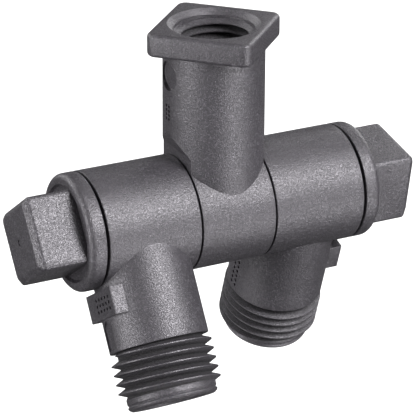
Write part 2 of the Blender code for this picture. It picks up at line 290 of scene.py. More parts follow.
def face_outwards(solid):
    """Merges the points that lie together and turns every face outwards."""
    bmesh.ops.remove_doubles(solid, verts=solid.verts, dist=SAME_POINT)
    bmesh.ops.recalc_face_normals(solid, faces=solid.faces)
    if solid.calc_volume(signed=True) < 0:
        bmesh.ops.reverse_faces(solid, faces=solid.faces)


def turned_mesh(name, corners, steps, ring=False):
    """A mesh turned about Z from (radius, height, rounding) corners, listed top first down the outside."""
    points = finely(soft_outline(corners, ring), ring)
    solid = bmesh.new()
    verts = [solid.verts.new((radius, 0, height)) for radius, height in points]
    edges = [solid.edges.new(pair) for pair in zip(verts, verts[1:])]
    if ring:
        edges.append(solid.edges.new((verts[-1], verts[0])))
    bmesh.ops.spin(solid, geom=verts + edges, axis=(0, 0, 1), angle=math.tau, steps=steps, use_merge=True)
    face_outwards(solid)
    return mesh_from(name, solid)


def rod_mesh(name, radius, high, low, steps, top_rounding=0, bottom_rounding=0):
    """A solid rod about Z between two heights."""
    corners = [(0, high, 0), (radius, high, top_rounding), (radius, low, bottom_rounding), (0, low, 0)]
    return turned_mesh(name, corners, steps)


def soft_outline(corners, ring=False):
    """Turns (x, y, rounding) corners into points, with an arc at each rounded one."""
    points = []
    last = len(corners) - 1
    for index, (x, y, rounding) in enumerate(corners):
        here = Vector((x, y))
        if rounding == 0 or (not ring and index in (0, last)):
            points.append(here)
            continue
        before = (Vector(corners[index - 1][:2]) - here).normalized()
        after = (Vector(corners[(index + 1) % len(corners)][:2]) - here).normalized()
        half = before.angle(after) / 2
        start = before * (rounding / math.tan(half))
        centre = (before + after).normalized() * (rounding / math.sin(half))
        arm = start - centre
        other = after * (rounding / math.tan(half)) - centre
        sweep = math.atan2(arm.cross(other), arm.dot(other))
        for step in range(ARC_STEPS + 1):
            turn = Matrix.Rotation(sweep * step / ARC_STEPS, 2)
            points.append(here + centre + turn @ arm)
    return points


def finely(points, ring):
    """Splits the long straight runs of an outline."""
    fine = []
    following = points[1:] + (points[:1] if ring else [])
    for here, ahead in zip(points, following):
        parts = max(1, math.ceil((ahead - here).length / LONGEST_RUN))
        fine += [here.lerp(ahead, part / parts) for part in range(parts)]
    return fine if ring else fine + [points[-1]]


def block_mesh(name, size, centre, upright, across):
    """A box with its edges along Z rounded by one amount and all its other edges by another."""
    solid = bmesh.new()
    bmesh.ops.create_cube(solid, size=1, matrix=Matrix.Diagonal((*size, 1)))
    for wanted, width, segments in ((True, upright, UPRIGHT_BEVEL_STEPS), (False, across, OTHER_BEVEL_STEPS)):
        if not width:
            continue
        edges = [edge for edge in solid.edges if is_upright(edge) == wanted and is_corner(edge)]
        bmesh.ops.bevel(solid, geom=edges, offset=width, segments=segments, profile=0.5, affect="EDGES")
    solid.transform(Matrix.Translation(centre))
    return mesh_from(name, solid)


def is_upright(edge):
    """Whether an edge runs along Z."""
    run = edge.verts[1].co - edge.verts[0].co
    return abs(run.z) > 0.9 * run.length


def is_corner(edge):
    """Whether an edge is a box's own, and not one inside the rounding of another."""
    return edge.calc_face_angle() > 0.6


def stacked_mesh(name, rings):
    """A solid through stacked rounded squares, given as (height, half width, corner radius), top first."""
    solid = bmesh.new()
    loops = []
    for height, half, radius in rings:
        loop = []
        for quarter in range(4):
            corner = Matrix.Rotation(quarter * math.pi / 2, 2) @ Vector((half - radius, half - radius))
            for step in range(CORNER_STEPS + 1):
                turn = (quarter + step / CORNER_STEPS) * math.pi / 2
                x, y = corner + radius * Vector((math.cos(turn), math.sin(turn)))
                loop.append(solid.verts.new((x, y, height)))
        loops.append(loop)
    for above, below in zip(loops, loops[1:]):
        for index in range(len(above)):
            ahead = (index + 1) % len(above)
            solid.faces.new((above[index], above[ahead], below[ahead], below[index]))
    solid.faces.new(loops[0])
    solid.faces.new(loops[-1])
    bmesh.ops.recalc_face_normals(solid, faces=solid.faces)
    return mesh_from(name, solid)


def prism_mesh(name, outline, low, high):
    """A flat outline in X and Y, made solid between two heights."""
    solid = bmesh.new()
    face = solid.faces.new([solid.verts.new((x, y, low)) for x, y in outline])
    made = bmesh.ops.extrude_face_region(solid, geom=[face], use_keep_orig=True)
    raised = [item for item in made["geom"] if isinstance(item, bmesh.types.BMVert)]
    bmesh.ops.translate(solid, verts=raised, vec=(0, 0, high - low))
    bmesh.ops.recalc_face_normals(solid, faces=solid.faces)
    return mesh_from(name, solid)


def placed(mesh, *moves):
    """Moves a mesh by each matrix in turn."""
    for move in moves:
        mesh.transform(move)
    return mesh


def paint_groove_shade(mesh, depth_at):
    """Stores how deep in a groove each corner of each face lies, 0 to 1, which the finish reads to paint
    shade into the grooves.
    """
    # This attribute sets how much shade is painted into the colour.
    layer = mesh.attributes.new("groove", "FLOAT", "CORNER")
    places = [vertex.co.copy() for vertex in mesh.vertices]
    for face in mesh.polygons:
        centre = face.center.copy()
        for corner, vertex in zip(face.loop_indices, face.vertices):
            layer.data[corner].value = min(1.0, max(0.0, depth_at(places[vertex], centre)))
    return mesh


def new_object(name, mesh):
    """An object in the scene with this mesh."""
    obj = bpy.data.objects.new(name, mesh)
    bpy.context.scene.collection.objects.link(obj)
    return obj


def baked(obj):
    """The mesh of an object with its modifiers carried out. The object is removed."""
    graph = bpy.context.evaluated_depsgraph_get()
    mesh = bpy.data.meshes.new_from_object(obj.evaluated_get(graph))
    bpy.data.objects.remove(obj)
    return mesh


def combined(base, joins=(), cuts=()):
    """The base with some meshes joined to it, and then with others cut out of it, each in turn."""
    body = new_object("body", base)
    steps = [("UNION", mesh) for mesh in joins] + [("DIFFERENCE", mesh) for mesh in cuts]
    tools = []
    for operation, mesh in steps:
        tool = new_object("tool", mesh)
        boolean = body.modifiers.new("Step", "BOOLEAN")
        boolean.operation = operation
        boolean.solver = "MANIFOLD"
        boolean.object = tool
        tools.append(tool)
    mesh = baked(body)
    for tool in tools:
        bpy.data.objects.remove(tool)
    if not mesh.polygons:
        raise RuntimeError(f"nothing is left of {base.name}")
    return mesh


def finished(name, mesh, body, nodes, slot):
    """Makes a mesh a shown piece: smooth, finished, and riding on its body in place of its CAD nodes."""
    solid = bmesh.new()
    solid.from_mesh(mesh)
    bmesh.ops.remove_doubles(solid, verts=solid.verts, dist=CLOSE_POINTS)
    bmesh.ops.dissolve_degenerate(solid, edges=solid.edges, dist=CLOSE_POINTS)
    open_edges = sum(not edge.is_manifold for edge in solid.edges)
    solid.to_mesh(mesh)
    solid.free()
    if open_edges:
        print(f"{name} has {open_edges} edges that aren't closed")
    mesh.materials.clear()
    mesh.materials.append(finish_named(slot))
    mesh.shade_smooth()
    mesh.set_sharp_from_angle(angle=SHARPEST_SMOOTH)
    piece = new_object(name, mesh)
    mesh.name = name
    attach(piece, body)
    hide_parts(*nodes)


# ---------------------------------------------------------------- geometry nodes

TREES = {}
THINNEST_FADE = 0.05
WIDEST_ROOT = 0.985
RIDGE_SINK = 0.1 * MM
FLANK = math.tan(math.radians(30))


class Tree:
    """Builds one node group: sockets by name, then nodes joined by links."""

    def __init__(self, name, kind):
        self.group = bpy.data.node_groups.new(name, kind)
        self.entry = self.group.nodes.new("NodeGroupInput")
        self.result = self.group.nodes.new("NodeGroupOutput")
        self.identifiers = {}

    def socket(self, name, kind, default=None, output=False):
        """Adds a named input or output to the group."""
        way = "OUTPUT" if output else "INPUT"
        made = self.group.interface.new_socket(name, in_out=way, socket_type=kind)
        if default is not None:
            made.default_value = default
        self.identifiers[name] = made.identifier

    def node(self, kind, inputs=None, **settings):
        """Adds a node, and gives its inputs values or links them to other nodes' outputs."""
        node = self.group.nodes.new(kind)
        for key, value in settings.items():
            setattr(node, key, value)
        for key, value in (inputs or {}).items():
            target = node.inputs[key]
            if isinstance(value, bpy.types.NodeSocket):
                self.group.links.new(value, target)
            else:
                target.default_value = value
        return node

    def math(self, operation, first, second):
        """The result of one sum."""
        return self.node("ShaderNodeMath", {0: first, 1: second}, operation=operation).outputs[0]

    def give(self, name, socket):
        """Links a result to one of the group's outputs."""
        self.group.links.new(socket, self.result.inputs[name])


def thread_tree():
    """A helical ridge of trapezoid section that fades in and out, from Z = 0 upwards."""
    tree = Tree("thread ridge", "GeometryNodeTree")
    for name, default in (
        ("Start Radius", 8 * MM),
        ("End Radius", 8 * MM),
        ("Depth", MM),
        ("Root Width", 1.4 * MM),
        ("Crest Width", 0.2 * MM),
        ("Pitch", 1.6 * MM),
        ("Turns", 5.0),
        ("Fade Length", 10 * MM),
    ):
        tree.socket(name, "NodeSocketFloat", default)
    tree.socket("Steps", "NodeSocketInt", 72)
    tree.socket("Material", "NodeSocketMaterial")
    tree.socket("Geometry", "NodeSocketGeometry", output=True)
    given = tree.entry.outputs

    spiral = tree.node(
        "GeometryNodeCurveSpiral",
        {
            "Resolution": given["Steps"],
            "Rotations": given["Turns"],
            "Start Radius": given["Start Radius"],
            "End Radius": given["End Radius"],
            "Height": tree.math("MULTIPLY", given["Pitch"], given["Turns"]),
        },
    )
    upright = tree.node("GeometryNodeSetCurveNormal", {"Curve": spiral.outputs[0]}, mode="Z_UP")
    along = tree.node("GeometryNodeSplineParameter").outputs["Length"]
    whole = tree.node("GeometryNodeSplineLength").outputs["Length"]
    left = tree.math("SUBTRACT", whole, along)
    nearer = tree.math("MINIMUM", along, left)
    fade = tree.math("DIVIDE", nearer, given["Fade Length"])
    fade = tree.math("MINIMUM", tree.math("MAXIMUM", fade, THINNEST_FADE), 1.0)

    outline = tree.node(
        "GeometryNodeCurvePrimitiveQuadrilateral",
        {
            "Height": given["Depth"],
            "Bottom Width": given["Root Width"],
            "Top Width": given["Crest Width"],
            "Offset": 0.0,
        },
        mode="TRAPEZOID",
    )
    lift = tree.node("ShaderNodeCombineXYZ", {"Y": tree.math("MULTIPLY", given["Depth"], 0.5)})
    lifted = {"Geometry": outline.outputs[0], "Translation": lift.outputs[0]}
    outline = tree.node("GeometryNodeTransform", lifted)
    turned = {"Geometry": outline.outputs[0], "Rotation": (0, 0, math.pi / 2)}
    outline = tree.node("GeometryNodeTransform", turned)
    ridge = tree.node(
        "GeometryNodeCurveToMesh",
        {"Curve": upright.outputs[0], "Profile Curve": outline.outputs[0], "Scale": fade, "Fill Caps": True},
    )
    real = tree.node("GeometryNodeRealizeInstances", {"Geometry": ridge.outputs[0]})
    surface = {"Geometry": real.outputs[0], "Material": given["Material"]}
    painted = tree.node("GeometryNodeSetMaterial", surface)
    tree.give("Geometry", painted.outputs[0])
    return tree


def mark_tree():
    """Rows of round pins on a flat grid in X and Y, each pin standing through Z = 0."""
    tree = Tree("rows of pins", "GeometryNodeTree")
    tree.socket("Columns", "NodeSocketInt", 4)
    tree.socket("Rows", "NodeSocketInt", 2)
    tree.socket("Column Spacing", "NodeSocketFloat", MM)
    tree.socket("Row Spacing", "NodeSocketFloat", MM)
    tree.socket("Pin Radius", "NodeSocketFloat", 0.3 * MM)
    tree.socket("Pin Length", "NodeSocketFloat", MM)
    tree.socket("Material", "NodeSocketMaterial")
    tree.socket("Geometry", "NodeSocketGeometry", output=True)
    given = tree.entry.outputs

    width = tree.math("MULTIPLY", tree.math("SUBTRACT", given["Columns"], 1.0), given["Column Spacing"])
    height = tree.math("MULTIPLY", tree.math("SUBTRACT", given["Rows"], 1.0), given["Row Spacing"])
    grid = tree.node(
        "GeometryNodeMeshGrid",
        {"Size X": width, "Size Y": height, "Vertices X": given["Columns"], "Vertices Y": given["Rows"]},
    )
    pin = tree.node(
        "GeometryNodeMeshCylinder",
        {"Vertices": 14, "Radius": given["Pin Radius"], "Depth": given["Pin Length"]},
    )
    pins = tree.node("GeometryNodeInstanceOnPoints", {"Points": grid.outputs[0], "Instance": pin.outputs[0]})
    real = tree.node("GeometryNodeRealizeInstances", {"Geometry": pins.outputs[0]})
    surface = {"Geometry": real.outputs[0], "Material": given["Material"]}
    painted = tree.node("GeometryNodeSetMaterial", surface)
    tree.give("Geometry", painted.outputs[0])
    return tree


def tree_named(name, make):
    """A geometry tree, made once and then used again."""
    if name not in TREES:
        TREES[name] = make()
    return TREES[name]


def grown(tree, name, values):
    """The plain mesh that a geometry tree makes from these values."""
    obj = new_object(name, bpy.data.meshes.new(name))
    nodes = obj.modifiers.new("Nodes", "NODES")
    nodes.node_group = tree.group
    for key, value in values.items():
        nodes[tree.identifiers[key]] = value
    mesh = baked(obj)
    solid = bmesh.new()
    solid.from_mesh(mesh)
    face_outwards(solid)
    solid.to_mesh(mesh)
    solid.free()
    return mesh


def thread_mesh(name, root, crest, pitch, turns, steps, taper=0.0):
    """A 60 degree ridge from a root radius out to a crest radius, sunk a little into its core."""
    depth = crest - root + RIDGE_SINK
    start = root - RIDGE_SINK
    crest_width = pitch / 8
    root_width = crest_width + 2 * depth * FLANK
    values = {
        "Start Radius": start,
        "End Radius": start + pitch * turns * taper,
        "Depth": depth,
        "Root Width": min(root_width, pitch * WIDEST_ROOT),
        "Crest Width": crest_width,
        "Pitch": pitch,
        "Turns": turns,
        "Fade Length": root * math.pi / 3,
        "Steps": steps,
    }
    return grown(tree_named("thread", thread_tree), name, values)


# ---------------------------------------------------------------- finishes

# How strongly each part of the grain acts on colour, roughness and height, and how much roughness and painted
# shade the grooves get.
TONE_SWING = 6.0
DARKEST_TONE = 0.35
CLOUD_SCALE = 140.0
CLOUD_SHARE = 0.6
CELL_SHARE = 0.3
SPECKS_FROM = 0.72
ROUGHNESS_SWING = 1.8
GROOVE_ROUGHNESS = 0.58
# Share of the colour taken away at the bottom of a groove: painted shade.
GROOVE_PAINTED_SHADE = 0.95
SHEEN_TINT = (0.98, 0.95, 1.0, 1.0)


def grain_and_groove_shade_group():
    """Moulded grain: fine bumps, sparkling specks and slow clouding, all in object space, and painted shade
    in the grooves, read from the mesh's groove attribute.
    """
    tree = Tree("moulded grain and painted groove shade", "ShaderNodeTree")
    tree.socket("Colour", "NodeSocketColor", (0.1, 0.1, 0.1, 1))
    tree.socket("Speck Colour", "NodeSocketColor", (0.3, 0.3, 0.3, 1))
    tree.socket("Speck Amount", "NodeSocketFloat", 0.5)
    tree.socket("Grain Size", "NodeSocketFloat", 0.25 * MM)
    tree.socket("Grain Depth", "NodeSocketFloat", 0.05 * MM)
    tree.socket("Grain Contrast", "NodeSocketFloat", 0.3)
    tree.socket("Mean Roughness", "NodeSocketFloat", 0.5)
    tree.socket("Colour", "NodeSocketColor", output=True)
    tree.socket("Roughness", "NodeSocketFloat", output=True)
    tree.socket("Normal", "NodeSocketVector", output=True)
    given = tree.entry.outputs

    place = tree.node("ShaderNodeTexCoord").outputs["Object"]
    fineness = tree.math("DIVIDE", 1.0, given["Grain Size"])
    noise = {"Vector": place, "Scale": fineness, "Detail": 2.0, "Roughness": 0.65}
    grain = tree.node("ShaderNodeTexNoise", noise).outputs["Fac"]
    cells = tree.node("ShaderNodeTexVoronoi", {"Vector": place, "Scale": fineness, "Randomness": 1.0})
    cell_tone = tree.node("ShaderNodeSeparateColor", {"Color": cells.outputs["Color"]}).outputs[0]
    slow = {"Vector": place, "Scale": CLOUD_SCALE, "Detail": 4.0, "Roughness": 0.6}
    clouds = tree.node("ShaderNodeTexNoise", slow).outputs["Fac"]

    swing = tree.math("MULTIPLY", tree.math("SUBTRACT", grain, 0.5), given["Grain Contrast"])
    drift = tree.math("MULTIPLY", tree.math("SUBTRACT", clouds, 0.5), CLOUD_SHARE)
    tone = tree.math("ADD", tree.math("ADD", tree.math("MULTIPLY", swing, TONE_SWING), drift), 1.0)
    tone = tree.math("MAXIMUM", tone, DARKEST_TONE)
    toned = {0: given["Colour"], "Scale": tone}
    shaded = tree.node("ShaderNodeVectorMath", toned, operation="SCALE").outputs[0]
    bright_cells = {"Value": cell_tone, "From Min": SPECKS_FROM, "From Max": 1.0}
    speck = tree.node("ShaderNodeMapRange", bright_cells).outputs[0]
    mask = tree.math("MULTIPLY", speck, given["Speck Amount"])
    layers = {"Factor": mask, 6: shaded, 7: given["Speck Colour"]}
    mixed = tree.node("ShaderNodeMix", layers, data_type="RGBA").outputs[2]
    rough = tree.math("SUBTRACT", given["Mean Roughness"], tree.math("MULTIPLY", swing, ROUGHNESS_SWING))

    # Painted shade: the colour darkens and the roughness rises by the groove attribute, deepest in the thread
    # grooves and down the inlet.
    groove = tree.node("ShaderNodeAttribute", attribute_name="groove").outputs["Fac"]
    rough = tree.math("ADD", rough, tree.math("MULTIPLY", groove, GROOVE_ROUGHNESS))
    kept_light = tree.math("SUBTRACT", 1.0, tree.math("MULTIPLY", groove, GROOVE_PAINTED_SHADE))
    painted_groove_shade = {0: mixed, "Scale": kept_light}
    mixed = tree.node("ShaderNodeVectorMath", painted_groove_shade, operation="SCALE").outputs[0]

    height = tree.math("ADD", grain, tree.math("MULTIPLY", cell_tone, CELL_SHARE))
    bump = tree.node("ShaderNodeBump", {"Height": height, "Distance": given["Grain Depth"], "Strength": 1.0})
    tree.give("Colour", mixed)
    tree.give("Roughness", rough)
    tree.give("Normal", bump.outputs[0])
    return tree.group


def new_material(name, group, specular, **values):
    """A material whose colour, roughness and normal come from a finish group with its own values."""
    material = bpy.data.materials.new(name)
    material.use_nodes = True
    nodes = material.node_tree.nodes
    shader = nodes["Principled BSDF"]
    finish = nodes.new("ShaderNodeGroup")
    finish.node_tree = group
    for key, value in values.items():
        finish.inputs[key.replace("_", " ").title()].default_value = value
    links = material.node_tree.links
    links.new(finish.outputs["Colour"], shader.inputs["Base Color"])
    links.new(finish.outputs["Roughness"], shader.inputs["Roughness"])
    links.new(finish.outputs["Normal"], shader.inputs["Normal"])
    shader.inputs["Specular IOR Level"].default_value = specular
    shader.inputs["Specular Tint"].default_value = SHEEN_TINT
    return material


def finish_named(slot):
    """The finish of a material slot, made the first time that it is asked for."""
    name = slot + "_finish"
    if name in bpy.data.materials:
        return bpy.data.materials[name]
    finish = bpy.context.scene.splitter_finish
    group = bpy.data.node_groups.get("moulded grain and painted groove shade") or grain_and_groove_shade_group()
    if slot == "gasket_rubber":
        return new_material(
            name,
            group,
            specular=0.3,
            colour=finish.rubber,
            speck_amount=0.0,
            grain_depth=finish.grain_depth * 0.3,
            grain_contrast=0.1,
            mean_roughness=0.75,
        )
    # The bolts' grain is a little coarser than that of the other mouldings.
    coarser = 1.15 if slot == "bolt_nylon" else 1.0
    return new_material(
        name,
        group,
        specular=0.95,
        colour=finish.nylon,
        speck_colour=finish.nylon_light,
        speck_amount=finish.specks * coarser,
        grain_size=finish.grain_size * coarser,
        grain_depth=finish.grain_depth * coarser,
        grain_contrast=finish.grain_contrast,
        mean_roughness=finish.roughness,
    )


# ---------------------------------------------------------------- places

LYING = Matrix.Rotation(math.pi / 2, 4, "Y")
HALF_TURN = Matrix.Rotation(math.pi, 4, "Z")
ON_AXIS = Matrix.Translation((0, 0, AXIS_HEIGHT))
TO_TUBE = Matrix.Translation((TUBE_OFFSET, 0, 0))
# How far a cutter reaches past the face that it opens.
PAST = 1.0 * MM


def side_move(side, turn):
    """From a right-hand piece lying along the swivel axis to its place on one side."""
    facing = HALF_TURN if side == "left" else Matrix()
    return ON_AXIS @ Matrix.Rotation(turn, 4, "X") @ facing


def marks_on(origin, normal, depth, columns, rows, spacing, radius):
    """Pins that sink a grid of dots into an upright face, given the grid's middle on it and its normal."""
    values = {
        "Columns": columns,
        "Rows": rows,
        "Column Spacing": spacing[0],
        "Row Spacing": spacing[1],
        "Pin Radius": radius,
        "Pin Length": 4 * depth,
    }
    pins = grown(tree_named("marks", mark_tree), "marks", values)
    normal = Vector(normal)
    side = UP.cross(normal)
    turn = Matrix((side, UP, normal)).transposed().to_4x4()
    return placed(pins, turn, Matrix.Translation(Vector(origin) + normal * depth))


# ---------------------------------------------------------------- operators


class SplitterOperator:
    """What every operator of the splitter shares."""

    bl_options = {"REGISTER", "UNDO"}


class SPLITTER_OT_tee(SplitterOperator, bpy.types.Operator):
    """Build the tee: flange, riser with its threaded inlet, and centre barrel"""

    bl_idname = "splitter.tee"
    bl_label = "Tee"

    def execute(self, context):
        tee = context.scene.splitter_tee
        threads = context.scene.splitter_threads
        outside = combined(
            self.riser(tee, threads),
            joins=[self.flange(tee), self.barrel(threads)],
            cuts=[self.relief(tee, way) for way in (-1, 1)],
        )
        bored = combined(
            outside,
            cuts=[
                self.cross_bore(threads),
                self.inlet(tee, threads),
                self.inlet_groove(tee, threads),
                self.recess(tee),
                self.marks(tee),
                *(bolt_thread(context, side, THREAD_CLEARANCE, 1) for side in SIDES),
            ],
        )
        # Painted shade in the inlet's thread grooves and deeper down its passage.
        mesh = paint_groove_shade(bored, partial(self.painted_shade_depth, tee, threads))
        finished("tee_moulding", mesh, "tee", ["inlet_tee"], "tee_nylon")
        return {"FINISHED"}

    def riser(self, tee, threads):
        """The upright riser, from inside the flange down to the swivel axis."""
        top = -tee.flange_thickness / 2
        return rod_mesh("riser", tee.riser_radius, top, AXIS_HEIGHT, threads.round_steps)

    def flange(self, tee):
        """The square flange on the riser, its corners towards X and Y."""
        thick = tee.flange_thickness
        size = (tee.flange_side, tee.flange_side, thick)
        flange = block_mesh("flange", size, (0, 0, -thick / 2), tee.flange_corner, tee.flange_edge)
        return placed(flange, Matrix.Rotation(math.pi / 4, 4, "Z"))

    def barrel(self, threads):
        """The centre barrel, along the swivel axis between the outlets."""
        rounding = 0.12 * MM
        steps = threads.round_steps
        barrel = rod_mesh("barrel", BARREL_RADIUS, TEE_HALF, -TEE_HALF, steps, rounding, rounding)
        return placed(barrel, LYING, ON_AXIS)

    def painted_shade_depth(self, tee, threads, point, centre):
        """How deep a point lies between the inlet thread's crests, or down its passage, which sets the shade
        painted there.
        """
        in_inlet = math.hypot(centre.x, centre.y) <= threads.inlet_major + 0.1 * MM
        thread_top = -2.2 * MM
        if not in_inlet or centre.z > thread_top or centre.z < AXIS_HEIGHT:
            return 0
        sunk = math.hypot(point.x, point.y) - threads.inlet_minor
        return max(sunk / (threads.inlet_major - threads.inlet_minor), -point.z / tee.inlet_depth)

    def relief(self, tee, way):
        """The space beside the centre barrel, under the riser's slanted underside, towards +X or -X."""
        reach = 20 * MM
        slope = math.tan(tee.relief_slope)
        outline = [
            (TEE_HALF, -reach),
            (reach, -reach),
            (reach, tee.relief_bottom + (reach - TEE_HALF) * slope),
            (TEE_HALF, tee.relief_bottom),
        ]
        outline = [(way * x, y) for x, y in outline]
        prism = prism_mesh("relief", outline, -reach, reach)
        return placed(prism, Matrix.Rotation(math.pi / 2, 4, "X"), ON_AXIS)

    def cross_bore(self, threads):
        """The hole along the swivel axis for the two bolts, with a gasket's seat at each end."""
        seat = TEE_HALF - SEAT_DEPTH
        step = 0.77 * MM
        half = [
            (0, TEE_HALF + PAST, 0),
            (SEAT_RADIUS, TEE_HALF + PAST, 0),
            (SEAT_RADIUS, seat, SEAT_ROUNDING),
            (threads.bolt_major + THREAD_CLEARANCE, seat, 0),
            (threads.bolt_root + THREAD_CLEARANCE, seat - step, 0),
        ]
        other_half = [(radius, -height, rounding) for radius, height, rounding in reversed(half)]
        return placed(turned_mesh("cross_bore", half + other_half, threads.round_steps), LYING, ON_AXIS)

    def recess(self, tee):
        """The shallow round recess in the riser's left side, near its mouth."""
        low = -tee.recess_depth
        recess = rod_mesh("recess", tee.recess_radius, PAST, low, steps=64, bottom_rounding=0.12 * MM)
        facing_left = Matrix.Rotation(-math.pi / 2, 4, "Y")
        return placed(recess, facing_left, Matrix.Translation((-tee.riser_radius, 0, -tee.recess_drop)))

    def marks(self, tee):
        """The dots on the riser's left side."""
        middle = AXIS_HEIGHT + 18.5 * MM
        return marks_on(
            (-tee.riser_radius, 0, middle),
            (-1, 0, 0),
            0.22 * MM,
            columns=2,
            rows=4,
            spacing=(MM, 0.75 * MM),
            radius=0.28 * MM,
        )

    def inlet(self, tee, threads):
        """The chamfer, the thread's core and the water passage below it."""
        chamfer = -(tee.inlet_lip - tee.inlet_lead)
        shelf = chamfer - 0.02 * MM
        shelf_radius = tee.inlet_lead - 0.22 * MM
        step = chamfer - 0.45 * MM
        step_radius = tee.inlet_lead - 0.28 * MM
        thread_top = step - 0.6 * MM
        depth = tee.inlet_depth
        end = threads.inlet_minor - depth * INLET_TAPER
        corners = [
            (0, PAST, 0),
            (tee.inlet_lip + PAST, PAST, 0),
            (tee.inlet_lead, chamfer, 0),
            (shelf_radius, shelf, 0),
            (step_radius, step, 0),
            (threads.inlet_minor, thread_top, 0),
            (end, -depth, 0),
            (tee.riser_bore, -depth - end + tee.riser_bore, 0),
            (tee.riser_bore, AXIS_HEIGHT, 0),
            (0, AXIS_HEIGHT, 0),
        ]
        return turned_mesh("inlet_core", corners, threads.round_steps)

    def inlet_groove(self, tee, threads):
        """The tapered groove of the inlet's thread, from just above its end."""
        start = -tee.inlet_depth + 0.6 * MM
        narrow = start * INLET_TAPER
        groove = thread_mesh(
            "inlet_groove",
            threads.inlet_minor + narrow,
            threads.inlet_major + narrow,
            threads.inlet_pitch,
            threads.inlet_turns,
            threads.thread_steps,
            taper=INLET_TAPER,
        )
        return placed(groove, Matrix.Translation((0, 0, start)))


def bolt_turn(bolt, side):
    """How far a bolt's head is turned about the swivel axis."""
    return bolt.left_turn if side == "left" else bolt.right_turn


def bolt_thread(context, side, clearance, extra_turns):
    """A bolt's thread ridge in its place, or, with clearance, the groove that takes it."""
    threads = context.scene.splitter_threads
    ridge = thread_mesh(
        "bolt_ridge",
        threads.bolt_root + clearance,
        threads.bolt_major + clearance,
        threads.bolt_pitch,
        threads.bolt_turns + extra_turns,
        threads.thread_steps,
    )
    plain_tip = 0.55 * MM
    start = BOLT_TIP + plain_tip - threads.bolt_pitch * extra_turns
    turn = bolt_turn(context.scene.splitter_bolt, side)
    return placed(ridge, Matrix.Translation((0, 0, start)), LYING, side_move(side, turn))


